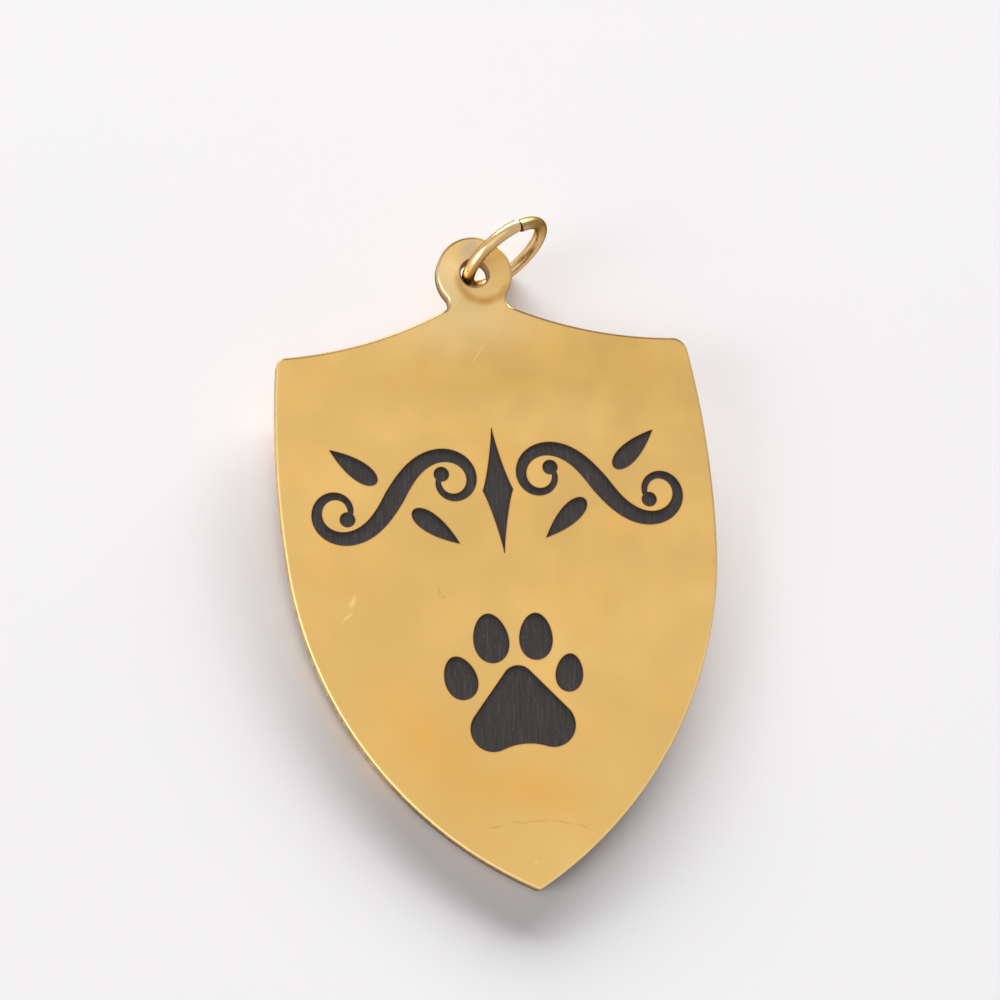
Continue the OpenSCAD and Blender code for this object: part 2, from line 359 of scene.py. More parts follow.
def plate_half(corner_radius):
    """Seven tangent arcs: tip, lower edge, side, shoulder corner, shoulder, neck and eyelet."""
    side = np.array([PLATE_WIDTH / 2 - SIDE_RADIUS, 0])
    lower = meeting(side, SIDE_RADIUS - LOWER_RADIUS, [0, -POINT_DROP], LOWER_RADIUS)
    corner = meeting(
        shoulder_middle, SHOULDER_RADIUS + corner_radius, side, SIDE_RADIUS - corner_radius
    )
    eyelet_radius = EYELET_WIDTH / 2
    neck = meeting(
        shoulder_middle, SHOULDER_RADIUS - NECK_RADIUS, eyelet_middle, eyelet_radius + NECK_RADIUS
    )
    tip = np.array([0, lower[1] - np.sqrt((LOWER_RADIUS - TIP_RADIUS) ** 2 - lower[0] ** 2)])
    lower_start, lower_end = heading(lower, tip), heading(side, lower)
    corner_start, corner_end = heading(side, corner), heading(corner, shoulder_middle)
    shoulder_start = heading(shoulder_middle, corner)
    shoulder_end = heading(shoulder_middle, neck)
    parts = [
        arc(tip, TIP_RADIUS, -90, lower_start, TIP_STEP),
        arc(lower, LOWER_RADIUS, lower_start, lower_end, LOWER_STEP),
        arc(side, SIDE_RADIUS, lower_end, corner_start, SIDE_STEP),
        arc(corner, corner_radius, corner_start, corner_end, CORNER_STEP),
        arc(shoulder_middle, SHOULDER_RADIUS, shoulder_start, shoulder_end, SHOULDER_STEP),
        arc(neck, NECK_RADIUS, shoulder_end + 360, heading(neck, eyelet_middle), NECK_STEP),
        arc(eyelet_middle, eyelet_radius, heading(eyelet_middle, neck), 90, EYELET_STEP),
        [eyelet_middle + [0, eyelet_radius]],
    ]
    return np.concatenate(parts)


def plate_outline():
    """Both halves of the plate, of which the right one isn't quite the other's mirror image.

    Its shoulder corner is worn rounder. Its points move outwards with the square of their own x,
    and the upper ones down as well, with the square of y up to the corner.
    """
    right = plate_half(WORN_CORNER_RADIUS)
    outwards = (right[:, 0] / (PLATE_WIDTH / 2)) ** 2
    upwards = np.clip(right[:, 1] / SHOULDER_RISE, 0, 1) ** 2
    nudge = np.stack([RIGHT_WIDER * outwards, -RIGHT_SHOULDER_DROP * outwards * upwards], 1)
    return both_halves(right + nudge, plate_half(CORNER_RADIUS))


def turned(points, angle):
    """Points turned round the origin, anticlockwise, in degrees."""
    c, s = np.cos(np.radians(angle)), np.sin(np.radians(angle))
    return points @ np.array([[c, s], [-s, c]])


def toe_outline(x_share, y_share, length_share, width_share, lean):
    """An egg: half width times cos(t) (1 - taper sin(t)), half length times sin(t), leaning."""
    t = np.linspace(0, 2 * np.pi, TOE_POINTS, endpoint=False)
    x = width_share * PAW_WIDTH / 2 * np.cos(t) * (1 - TOE_TAPER * np.sin(t))
    y = length_share * PAW_WIDTH / 2 * np.sin(t)
    place = [x_share * PAW_WIDTH, y_share * PAW_WIDTH - PAW_DROP]
    return turned(np.stack([x, y], 1), lean) + place


def pad_outline():
    """A round apex, two round lobes and a hollow base, each arc tangent to the next."""
    lobe_radius = PAD_LOBE[1] * PAW_WIDTH
    lobe = np.array([PAD_LOBE[0] * PAW_WIDTH, -PAW_DROP])
    apex_radius = PAD_APEX[1] * PAW_WIDTH
    apex = np.array([0, PAD_APEX[0] * PAW_WIDTH - PAW_DROP])
    drop = PAD_HOLLOW * PAW_WIDTH
    hollow_radius = (lobe[0] ** 2 + drop**2 - lobe_radius**2) / (2 * (lobe_radius - drop))
    hollow = np.array([0, -PAW_DROP - drop - hollow_radius])
    between = np.linalg.norm(lobe - apex)
    flank = heading(apex, lobe) + np.degrees(np.arccos((apex_radius - lobe_radius) / between))
    parts = [
        arc(hollow, hollow_radius, 90, heading(hollow, lobe), PAD_STEP),
        arc(lobe, lobe_radius, heading(lobe, hollow), flank, PAD_STEP),
        arc(apex, apex_radius, flank, 90, PAD_STEP),
        [apex + [0, apex_radius]],
    ]
    return both_halves(np.concatenate(parts))


def star_outline():
    """Half width times cos(t) and half height times sin(t), each to a power, with its sign."""
    t = np.linspace(0, 2 * np.pi, STAR_POINTS, endpoint=False)
    shares = np.stack([np.cos(t), np.sin(t)], 1)
    shares[np.abs(shares) < NOTHING] = 0
    hollowed = np.sign(shares) * np.abs(shares) ** STAR_POWER
    return hollowed * [STAR_WIDTH / 2, STAR_HEIGHT / 2] - [0, ORNAMENT_DROP]


def leaf_outline():
    """A drop: half length times cos(t), half width times fullness times sin(t) sin(t/2)."""
    t = np.linspace(0, 2 * np.pi, LEAF_POINTS, endpoint=False)
    across = LEAF_WIDTH / 2 * LEAF_FULLNESS * np.sin(t) * np.sin(t / 2)
    return np.stack([LEAF_LENGTH / 2 * np.cos(t), across], 1)


def scroll_outline():
    """A double spiral whose heading grows with the square of the way, thinning to a ball."""
    way = np.arange(SCROLL_STEPS + 1) / SCROLL_STEPS
    turn = np.radians(SCROLL_END_TURN * way**2 - SCROLL_SLOPE)
    middle_way = way[:-1] + 0.5 / SCROLL_STEPS
    middle_turn = np.radians(SCROLL_END_TURN * middle_way**2 - SCROLL_SLOPE)
    stride = SCROLL_ARM / SCROLL_STEPS
    strides = stride * np.stack([np.cos(middle_turn), np.sin(middle_turn)], 1)
    line = np.concatenate([[[0, 0]], np.cumsum(strides, 0)])
    half = (STROKE_THICK + (STROKE_THIN - STROKE_THICK) * way)[:, None] / 2
    across = np.stack([-np.sin(turn), np.cos(turn)], 1)
    ball, ball_radius = line[-1], BALL_WIDTH / 2
    sides = []
    for side in (line - half * across, line + half * across):
        clear = np.nonzero(np.linalg.norm(side - ball, axis=1) > ball_radius)[0]
        sides.append(side[: clear[-1] + 1])
    outer, inner = sides
    start, end = heading(ball, outer[-1]), heading(ball, inner[-1])
    round_ball = arc(ball, ball_radius, start, end + 360 * (end < start), BALL_STEP)[1:]
    arm = np.concatenate([outer, round_ball, inner[:0:-1]])
    return np.concatenate([arm, -arm])


def on_side(points, side):
    """The right-hand figure, moved out to its place, or its mirror image on the left."""
    placed = points + [SCROLL_OUT, -ORNAMENT_DROP]
    return placed if side > 0 else placed[::-1] * [-1, 1]


def leaf_on_side(side, up):
    """One leaf above a scroll's outer half (up 1) or below its inner half (up -1)."""
    leaf = turned(leaf_outline(), LEAF_TURN + 90 * (1 - up))
    return on_side(leaf + [up * LEAF_OUT, up * LEAF_RISE], side)


figures = {name: toe_outline(*shares) for name, shares in TOES.items()}
figures["pad_filling"] = pad_outline()
figures["star_filling"] = star_outline()
figures["left_scroll_filling"] = on_side(scroll_outline(), -1)
figures["right_scroll_filling"] = on_side(scroll_outline(), 1)
figures["upper_left_leaf_filling"] = leaf_on_side(-1, 1)
figures["lower_left_leaf_filling"] = leaf_on_side(-1, -1)
figures["upper_right_leaf_filling"] = leaf_on_side(1, 1)
figures["lower_right_leaf_filling"] = leaf_on_side(1, -1)


# Meshes. Each has two attributes. edge goes from 0 on a flat face to 1 on a wall, and on the wire
# it is 0 but for the cut ends. The other says how much stain and painted shade a place has.


def outward(outline):
    """Unit normals of a closed outline, to the right of the way from one neighbour to the other."""
    along = np.roll(outline, -1, 0) - np.roll(outline, 1, 0)
    across = np.stack([along[:, 1], -along[:, 0]], 1)
    return across / np.linalg.norm(across, axis=1)[:, None]


def room(outline, facing):
    """Radius, at each point, of the largest circle on the side it faces that touches there.

    It is the least of d^2 / (2 f) over the other points, for a point d away and f in front.
    """
    apart = outline[None] - outline[:, None]
    front = np.einsum("ijk,ik->ij", apart, facing)
    least = 1e-6
    radius = np.where(front > least, (apart**2).sum(2) / (2 * np.maximum(front, least)), np.inf)
    return radius.min(1)


class Shell:
    """A mesh in the making: rings of points with their normals, and the faces between them."""

    def __init__(self):
        self.points, self.normals, self.edges, self.stains_and_shades = [], [], [], []
        self.quads, self.triangles = [], []
        self.count = 0

    def ring(self, places, height, normals, up, edge=0.0, stain_and_shade=0.0):
        """Adds a row of points at a height, with normals turned up so that their z is up."""
        flat = np.sqrt(np.maximum(0, 1 - up**2))
        size = len(places)
        self.points.append(np.column_stack([places, np.broadcast_to(height, size)]))
        self.normals.append(np.column_stack([normals * flat, np.full(size, up)]))
        self.edges.append(np.full(size, edge))
        self.stains_and_shades.append(np.full(size, stain_and_shade))
        self.count += size
        return np.arange(self.count - size, self.count)

    def strips(self, rings, inside=False):
        """Faces between each closed ring and the next one down, turned round on an inner wall."""
        for above, below in zip(rings[:-1], rings[1:]):
            if inside:
                above, below = below, above
            after = np.roll(above, -1), np.roll(below, -1)
            self.quads.append(np.stack([above, below, after[1], after[0]], 1))

    def fill(self, rings, faces_up):
        """A flat face inside the first ring and outside the others."""
        places = np.concatenate(self.points)
        loops = [places[ring].tolist() for ring in rings]
        corners = np.concatenate(rings)[np.array(tessellate_polygon(loops))]
        a, b, c = (places[corners[:, k], :2] for k in range(3))
        first, second = b - a, c - a
        turns_left = first[:, 0] * second[:, 1] - first[:, 1] * second[:, 0] > 0
        corners[turns_left != faces_up] = corners[turns_left != faces_up][:, ::-1]
        self.triangles.append(corners)

    def finished(self, name):
        """The mesh object, with its shape laid down where the tag lies."""
        points = lay_down(np.concatenate(self.points))
        normals = np.concatenate(self.normals) @ lying_turn.T
        quads = np.concatenate(self.quads)
        triangles = np.concatenate(self.triangles)
        corners = np.concatenate([quads.ravel(), triangles.ravel()])
        sizes = np.concatenate([np.full(len(quads), 4), np.full(len(triangles), 3)])
        mesh = bpy.data.meshes.new(name)
        mesh.vertices.add(len(points))
        mesh.vertices.foreach_set("co", points.astype(np.float32).ravel())
        mesh.loops.add(len(corners))
        mesh.loops.foreach_set("vertex_index", corners.astype(np.int32))
        mesh.polygons.add(len(sizes))
        mesh.polygons.foreach_set("loop_start", (np.cumsum(sizes) - sizes).astype(np.int32))
        mesh.update(calc_edges=True)
        for attribute_name, values in (("edge", self.edges), ("stain_and_shade", self.stains_and_shades)):
            stored = mesh.attributes.new(attribute_name, "FLOAT", "POINT")
            stored.data.foreach_set("value", np.concatenate(values).astype(np.float32))
        mesh.shade_smooth()
        mesh.normals_split_custom_set_from_vertices(normals.tolist())
        piece = bpy.data.objects.new(name, mesh)
        bpy.context.scene.collection.objects.link(piece)
        return piece


def rounded_edge(shell, outline, normals, rounding, steps, below, stain_and_shade):
    """Rings of a rounded edge, from the flat face (a = 0) to the wall (a = 90 degrees).

    A ring lies r (1 - sin a) inside the outline and r (1 - cos a) behind the face. With below,
    the edge is the back one, and its rings still come from the top one down. The front edge has
    one more ring, further in on the flat face, over which its colour fades out.
    """
    rings = []
    start = 0.0 if below else EDGE_START
    if not below:
        free = room(outline, -normals) - rounding
        inset = rounding + np.minimum(EDGE_BAND, BAND_SHARE * free)[:, None]
        rings.append(shell.ring(outline - inset * normals, PLATE_THICK, normals, 1.0))
    turns = np.radians(np.linspace(0, 90, steps + 1))
    for a in turns[::-1] if below else turns:
        places = outline - rounding * (1 - np.sin(a)) * normals
        behind = rounding * (1 - np.cos(a))
        height = behind if below else PLATE_THICK - behind
        up = -np.cos(a) if below else np.cos(a)
        edge = start + (1 - start) * np.sin(a)
        rings.append(shell.ring(places, height, normals, up, edge, stain_and_shade * (edge > 0)))
    return rings


def plate_edge_shades(outline, normals):
    """How much painted shade the plate's front and back edges get, from 0 to 1, all round. The back
    one also goes browner away from one height.
    """
    on_eyelet = outline[:, 1] > eyelet_middle[1] - EYELET_WIDTH / 2
    way = np.where(on_eyelet[:, None], EYELET_SHADE_WAY, SHIELD_SHADE_WAY)
    edge_shade = np.clip(EDGE_SHADE_GAIN * (normals * way).sum(1) - EDGE_SHADE_LOSS, 0, 1)
    risen = np.clip((outline[:, 1] - SHADE_START) / SHADE_FADE, 0, 1)
    edge_shade = np.maximum(edge_shade, SHADED_SIDE * (normals[:, 0] > SHADED_FACING) * risen)
    from_bright = np.abs(outline[:, 1] - BRIGHT_HEIGHT) - BRIGHT_REACH
    browned = np.clip(from_bright / BROWN_FADE, 0, 1)
    return edge_shade, np.maximum(edge_shade, browned)


def hole_walls(shell):
    """The rings of the eyelet's hole: its rounded edges and, between them, its wall."""
    hole = arc(eyelet_middle, HOLE_WIDTH / 2, 0, 360, HOLE_STEP)
    inward = -outward(hole)
    spokes = (hole - eyelet_middle) / (HOLE_WIDTH / 2)
    # Painted shade in the hole, lifted on the front rim towards one way
    lifted = np.clip(SHADE_LIFT_GAIN * spokes @ SHADE_LIFT_WAY - SHADE_LIFT_LOSS, 0, 1)
    stain_and_shade = HOLE_SHADE - SHADE_LIFTED * lifted
    front = rounded_edge(shell, hole, inward, HOLE_ROUNDING, HOLE_EDGE_STEPS, False, stain_and_shade)
    back = rounded_edge(shell, hole, inward, HOLE_ROUNDING, HOLE_EDGE_STEPS, True, HOLE_SHADE)
    return front + back


def pocket_walls(shell, figure):
    """The rings of a pocket: its halo on the face, its quarter-round lip, its wall and floor.

    A ring of the lip lies l (1 - sin a) outside the figure and l (1 - cos a) behind the face.
    """
    away = outward(figure)
    floor = PLATE_THICK - POCKET_DEPTH
    apart = np.minimum(HALO, HALO_SHARE * room(figure, away))[:, None]
    lip = np.minimum(POCKET_LIP, LIP_SHARE * apart)
    walls = [shell.ring(figure + apart * away, PLATE_THICK, -away, 1.0)]
    for a in np.radians(LIP_TURNS):
        places = figure + lip * (1 - np.sin(a)) * away
        height = PLATE_THICK - lip[:, 0] * (1 - np.cos(a))
        walls.append(shell.ring(places, height, -away, np.cos(a), LIP_EDGE * np.sin(a), 1.0))
    walls.append(shell.ring(figure, floor, -away, CORNER_UP))
    inset = np.minimum(CORNER_INSET, INSET_SHARE * room(figure, -away))[:, None]
    walls.append(shell.ring(figure - inset * away, floor, -away, 1.0))
    return walls


def plate_piece():
    """The shield: a flat face with pockets and a hole, rounded edges, a side wall and a back."""
    shell = Shell()
    outline = plate_outline()
    normals = outward(outline)
    # Painted shade on the edges that face one way and on the right-hand side, and browner walls
    front_shade, back_shade_and_brown = plate_edge_shades(outline, normals)
    edge = rounded_edge(
        shell, outline, normals, FRONT_ROUNDING, FRONT_EDGE_STEPS, False, front_shade
    )
    edge += rounded_edge(shell, outline, normals, BACK_ROUNDING, BACK_EDGE_STEPS, True, back_shade_and_brown)
    shell.strips(edge)
    hole = hole_walls(shell)
    shell.strips(hole, inside=True)
    mouths = []
    for figure in figures.values():
        walls = pocket_walls(shell, figure)
        shell.strips(walls, inside=True)
        shell.fill([walls[-1]], faces_up=True)
        mouths.append(walls[0])
    shell.fill([edge[0], hole[0], *mouths], faces_up=True)
    shell.fill([edge[-1], hole[-1]], faces_up=False)
    return shell.finished("shield_plate")


def filling_piece(name, outline):
    """Black filling in a pocket: flat in the middle, and climbing to the wall as a parabola."""
    shell = Shell()
    away = outward(outline)
    reach = np.minimum(FILL_RIM, INSET_SHARE * room(outline, -away))[:, None]
    level, floor = PLATE_THICK - FILL_SINK, PLATE_THICK - POCKET_DEPTH
    rings = []
    for share in FILL_SHARES:
        climb = (1 - share) ** 2
        slope = 2 * (1 - share) * FILL_CLIMB / FILL_RIM
        up = 1 / np.sqrt(1 + slope**2)
        places = outline - share * reach * away
        rings.append(shell.ring(places, level + climb * FILL_CLIMB, -away, up, 1 - share))
    inset = np.minimum(CORNER_INSET, reach)
    rings.append(shell.ring(outline, floor, away, -CORNER_UP, 1.0))
    rings.append(shell.ring(outline - inset * away, floor, away, -1.0, 1.0))
    shell.strips(rings)
    shell.fill([rings[0]], faces_up=True)
    shell.fill([rings[-1]], faces_up=False)
    return shell.finished(name.replace("_filling", "_enamel"))


def ring_axes():
    """The ring's middle, and the ways along it, up and through it, as unit vectors.

    The ring lies out from the eyelet, and its up leans sideways from the plate's normal.
    """
    ring_way = np.radians(90 - RING_SWING)
    lean = np.radians(RING_LEAN)
    along = np.array([np.cos(ring_way), np.sin(ring_way), 0])
    sideways = np.array([-np.sin(ring_way), np.cos(ring_way), 0])
    up = np.cos(lean) * np.array([0, 0, 1]) + np.sin(lean) * sideways
    out = RING_RADIUS - RING_OFF
    middle = np.array([*(eyelet_middle + out * along[:2]), PLATE_THICK / 2])
    return middle, along, up, np.cross(along, up)


def painted_wire_shade(ways, p):
    """How much painted shade the wire has, from 0 to 1, at a way along it and a turn p round it.

    It is the gain times cos p less the loss, where cos p changes its sign at the turnover. A bell
    curve round the bend comes on top.
    """
    side = np.tanh(WIRE_SHADE_SUDDENNESS * (ways - WIRE_SHADE_TURNOVER))
    wire_shade = WIRE_SHADE_MOST * np.clip(WIRE_SHADE_GAIN * side * np.cos(p) - WIRE_SHADE_LOSS, 0, 1)
    wire_shade = wire_shade + BEND_SHADE * np.exp(-(((ways - BEND_WAY) / BEND_REACH) ** 2))
    return np.clip(wire_shade, 0, 1)


def ring_piece():
    """The jump ring: a round wire bent to a circle, whose two ends stand a little apart.

    A point is c + (R + w cos p) (cos t along + sin t up) + (w sin p + s) axis. The turn t starts
    and ends at the cut, whose half width grows towards the inside, and the sideways step s grows
    evenly with t. The whole is then a little longer than high: what lies along is multiplied by
    1 + stretch, and a normal's part along is divided by it. The wire's ends are rounded and closed
    by a flat fan. A third attribute, wire_place, is cos p, sin p and the way along the wire.
    """
    middle, along, up, axis = ring_axes()
    wire_radius = WIRE / 2
    a = np.radians(90 * np.arange(WIRE_END_STEPS) / WIRE_END_STEPS)
    shrink = WIRE_END_ROUNDING * (1 - np.sin(a))
    held_back = WIRE_END_ROUNDING * (1 - np.cos(a))
    even = np.ones(RING_STEPS + 1)
    radii = wire_radius - np.concatenate([shrink, 0 * even, shrink[::-1]])[:, None]
    tube_share = np.concatenate([np.sin(a), even, np.sin(a[::-1])])[:, None, None]
    forward = np.concatenate([-np.cos(a), 0 * even, np.cos(a[::-1])])[:, None, None]
    inward = np.linspace(1, -1, RING_STEPS + 1) * WIRE_END_ROUNDING
    inward = np.concatenate([held_back, inward, -held_back[::-1]])[:, None]
    ways = np.arange(RING_STEPS + 1) / RING_STEPS
    ways = np.concatenate([0 * a, ways, 0 * a + 1])[:, None]

    p = 2 * np.pi * np.arange(WIRE_POINTS)[None] / WIRE_POINTS
    reach = RING_RADIUS + radii * np.cos(p)
    slope = (CUT_INSIDE - CUT_OUTSIDE) / WIRE
    half_cut = (CUT_OUTSIDE + slope * (RING_RADIUS + wire_radius - reach)) / 2
    first = np.radians(CUT_TURN) + half_cut / reach
    last = np.radians(CUT_TURN + 360) - half_cut / reach
    t = (first + (last - first) * ways + inward / reach)[..., None]
    spoke = np.cos(t) * along + np.sin(t) * up
    onward = np.cos(t) * up - np.sin(t) * along
    sideways_step = (radii * np.sin(p) + CUT_STEP * (ways - 0.5))[..., None]
    tube = middle + reach[..., None] * spoke + sideways_step * axis
    round_normal = np.cos(p)[..., None] * spoke + np.sin(p)[..., None] * axis
    normal = tube_share * round_normal + forward * onward
    tube = tube + RING_STRETCH * ((tube - middle) @ along)[..., None] * along
    normal = normal - RING_STRETCH / (1 + RING_STRETCH) * (normal @ along)[..., None] * along
    normal = normal / np.linalg.norm(normal, axis=2, keepdims=True)

    index = np.arange(tube.shape[0] * WIRE_POINTS).reshape(-1, WIRE_POINTS)
    shell = Shell()
    shell.strips(index)
    centres = np.array([tube[0].mean(0), tube[-1].mean(0)])
    centre_normals = np.array([-onward[0].mean(0), onward[-1].mean(0)])
    after = np.roll(index, -1, 1)
    first_fan = [index[0], after[0], np.full(WIRE_POINTS, index.size)]
    last_fan = [after[-1], index[-1], np.full(WIRE_POINTS, index.size + 1)]
    shell.triangles = [np.stack(first_fan, 1), np.stack(last_fan, 1)]
    shell.points = [tube.reshape(-1, 3), centres]
    shell.normals = [normal.reshape(-1, 3), centre_normals]
    rim = 1 - BRIGHT_RIM * np.sin(a)
    cut_end = np.concatenate([rim, 0 * even, rim[::-1]])
    shell.edges = [np.repeat(cut_end, WIRE_POINTS), np.array([1, 1])]
    shell.stains_and_shades = [painted_wire_shade(ways, p).ravel(), np.zeros(2)]
    ring = shell.finished("wire_jump_ring")
    wire_place = np.stack(np.broadcast_arrays(np.cos(p), np.sin(p), LINES_LENGTH * ways), 2)
    wire_place = np.concatenate([wire_place.reshape(-1, 3), np.zeros((2, 3))])
    stored = ring.data.attributes.new("wire_place", "FLOAT_VECTOR", "POINT")
    stored.data.foreach_set("vector", wire_place.astype(np.float32).ravel())
    return ring


# Materials


def material(name, roughness, metallic=0.0):
    """A new material with its Principled shader, whose plain values are set here."""
    made = bpy.data.materials.new(name)
    made.use_nodes = True
    nodes, links = made.node_tree.nodes, made.node_tree.links
    shader = nodes["Principled BSDF"]
    shader.inputs["Roughness"].default_value = roughness
    shader.inputs["Metallic"].default_value = metallic
    return made, nodes, links, shader


def linear(*rgb):
    """A colour given in the 0 to 255 steps of a picture, as linear light, by the sRGB curve."""
    c = np.array(rgb) / 255
    return (*np.where(c <= 0.04045, c / 12.92, ((c + 0.055) / 1.055) ** 2.4), 1.0)


def grey(value):
    """A plain grey for a ramp whose colour is used as a number."""
    return (value, value, value, 1.0)


def noise(nodes, links, source, scale, detail=2.0, roughness=0.5):
    """Noise over a vector, the object's own coordinates in metres or an attribute of its mesh."""
    node = nodes.new("ShaderNodeTexNoise")
    node.inputs["Scale"].default_value = scale
    node.inputs["Detail"].default_value = detail
    node.inputs["Roughness"].default_value = roughness
    links.new(source, node.inputs["Vector"])
    return node.outputs["Fac"]


def own_place(nodes, links, stretch=(1, 1, 1), turn=0.0):
    """The object's own coordinates, turned about the upright and stretched along x, y and z."""
    coordinates = nodes.new("ShaderNodeTexCoord")
    mapping = nodes.new("ShaderNodeMapping")
    mapping.vector_type = "TEXTURE"
    mapping.inputs["Rotation"].default_value = (0, 0, np.radians(turn))
    mapping.inputs["Scale"].default_value = 1 / np.array(stretch)
    links.new(coordinates.outputs["Object"], mapping.inputs["Vector"])
    return mapping.outputs["Vector"]


def attribute(nodes, name, kind="Fac"):
    """One of the mesh's own attributes."""
    node = nodes.new("ShaderNodeAttribute")
    node.attribute_name = name
    return node.outputs[kind]


def spot(nodes, links, x, y, length, width, turn):
    """A soft oval on the plate's face, from 1 in its middle to 0 at its edge, in mm and degrees."""
    coordinates = nodes.new("ShaderNodeTexCoord")
    mapping = nodes.new("ShaderNodeMapping")
    mapping.vector_type = "TEXTURE"
    mapping.inputs["Location"].default_value = lay_down(np.array([x, y, PLATE_THICK]))
    mapping.inputs["Rotation"].default_value = (0, 0, np.radians(turn))
    mapping.inputs["Scale"].default_value = np.array([length, width, OVAL_HEIGHT]) * MM / 2
    ball = nodes.new("ShaderNodeTexGradient")
    ball.gradient_type = "SPHERICAL"
    links.new(coordinates.outputs["Object"], mapping.inputs["Vector"])
    links.new(mapping.outputs["Vector"], ball.inputs["Vector"])
    return ball.outputs["Fac"]


def ramp(nodes, links, source, stops):
    """A colour ramp over a value. Each stop is a place from 0 to 1 and a colour."""
    node = nodes.new("ShaderNodeValToRGB")
    node.color_ramp.interpolation = "EASE"
    elements = node.color_ramp.elements
    elements[0].position, elements[0].color = stops[0]
    elements[1].position, elements[1].color = stops[-1]
    for place, colour in stops[1:-1]:
        elements.new(place).color = colour
    links.new(source, node.inputs["Fac"])
    return node.outputs["Color"]


def put_in(links, socket, value):
    """A link from another socket, or a plain number or colour, into a node's socket."""
    if isinstance(value, bpy.types.NodeSocket):
        links.new(value, socket)
    else:
        socket.default_value = value


def sums(nodes, links, first, second, operation="ADD"):
    """A sum, or another plain operation, on two values that may be sockets or numbers."""
    node = nodes.new("ShaderNodeMath")
    node.operation = operation
    put_in(links, node.inputs[0], first)
    put_in(links, node.inputs[1], second)
    return node.outputs[0]


def mixed(nodes, links, share, first, second):
    """Two colours mixed by a share, each of which may be a socket or a plain value.

    The node has inputs for every kind of value: 0 is the share, 6 and 7 are the two colours.
    """
    node = nodes.new("ShaderNodeMix")
    node.data_type = "RGBA"
    put_in(links, node.inputs[0], share)
    put_in(links, node.inputs[6], first)
    put_in(links, node.inputs[7], second)
    return node.outputs[2]


def ovals(nodes, links, places):
    """The sum of some soft ovals on the plate's face."""
    total = 0.0
    for place in places:
        total = sums(nodes, links, total, spot(nodes, links, *place))
    return total


def painted(nodes, links, base, patches, strength, colour):
    """A colour laid over another where the patches are, as strongly as is said."""
    share = sums(nodes, links, patches, strength, "MULTIPLY")
    return mixed(nodes, links, share, base, colour)


def bump(nodes, links, shader, height, strength, depth):
    """A bump on the shader, as deep as is said in mm."""
    node = nodes.new("ShaderNodeBump")
    node.inputs["Strength"].default_value = strength
    node.inputs["Distance"].default_value = depth * MM
    links.new(height, node.inputs["Height"])
    links.new(node.outputs["Normal"], shader.inputs["Normal"])


# Colours and finishes. A list is the stops of a ramp: places from 0 to 1, each with a colour or
# with a grey that is used as a number. The bands are ramps over the mesh's edge.

# Brass of the plate, and its patches with how strongly they show. Two are painted light.
CLOUDS = [(0.3, linear(216, 176, 105)), (0.5, linear(220, 180, 109)), (0.7, linear(225, 186, 115))]
WARM_BRASS = linear(226, 177, 98)
WARM_SHARE = [(0.5, grey(0)), (0.75, grey(0.4))]
FACE_PATCHES = [
    (DARKER_PLACES, 0.7, linear(206, 166, 94)),
    (WARMER_PLACES, 0.7, linear(222, 170, 88)),
    (PALE_PLACES, 0.7, linear(230, 200, 144)),
    # A painted shadow of the ring
    (RING_PAINTED_SHADOW, 0.8, linear(196, 144, 70)),
    # A painted reflection of the ring
    (RING_PAINTED_REFLECTION, 1.0, linear(196, 172, 138)),
]
SCRATCHED_BRASS = linear(240, 208, 142)
SCRATCH_STRENGTH = 0.8
SCRATCH_HEIGHT = -1.5
SMEARED_BRASS = linear(176, 134, 76)
SMEAR_STRENGTH = 0.42
FACE_ROUGHNESS = [(0.35, grey(0.37)), (0.7, grey(0.46))]

# Its worn edge, its cut wall, and its stains and painted shade, in brown and dark
WORN_BRASS = linear(248, 222, 166)
WORN_BAND = [(0.0, grey(0)), (0.4, grey(0.8)), (0.85, grey(0))]
WORN_ROUGHNESS = grey(0.26)
CUT_BRASS = [(0.3, linear(192, 160, 114)), (0.7, linear(224, 194, 146))]
CUT_BAND = [(0.86, grey(0)), (0.97, grey(1))]
CUT_ROUGHNESS = grey(0.55)
BROWN_STAIN_AND_SHADE = linear(190, 128, 58)
BROWN_STAIN_AND_SHADE_STRENGTH = 0.55
DARK_STAIN_AND_SHADE = linear(60, 50, 34)
DARK_STAIN_AND_SHADE_BAND = [(0.02, grey(0)), (0.25, grey(0.9))]
DARK_STAIN_AND_SHADE_ROUGHNESS = grey(0.62)

# Brass of the wire
WIRE_BRASS = [(0.3, linear(216, 184, 130)), (0.7, linear(236, 208, 156))]
WIRE_SHEEN = linear(150, 110, 70)
WIRE_ROUGHNESS = [(0.3, grey(0.2)), (0.7, grey(0.3))]
DRAWN_BRASS = linear(206, 164, 104)
DRAWN_SHARE = [(0.3, grey(0)), (0.75, grey(0.5))]
# Painted shade on the wire, in brown
WIRE_SHADE_BROWN = linear(126, 104, 62)
WIRE_SHADE_STRENGTH = 0.8
WIRE_SHADE_ROUGHNESS = grey(0.42)
CUT_WIRE = linear(112, 84, 56)
CUT_WIRE_ROUGHNESS = grey(0.5)

# Black filling
CHARCOAL = [(0.32, linear(44, 39, 38)), (0.55, linear(56, 51, 50)), (0.72, linear(80, 74, 72))]
PALE_FLECKS = linear(104, 98, 92)
FLECK_SHARE = [(0.6, grey(0)), (0.76, grey(0.6))]
RED_RIM = linear(44, 16, 14)
RIM_BAND = [(0.1, grey(0)), (0.8, grey(1))]
ENAMEL_ROUGHNESS = [(0.4, grey(0.58)), (0.75, grey(0.36))]

TABLE_TOP = linear(248, 246, 247)


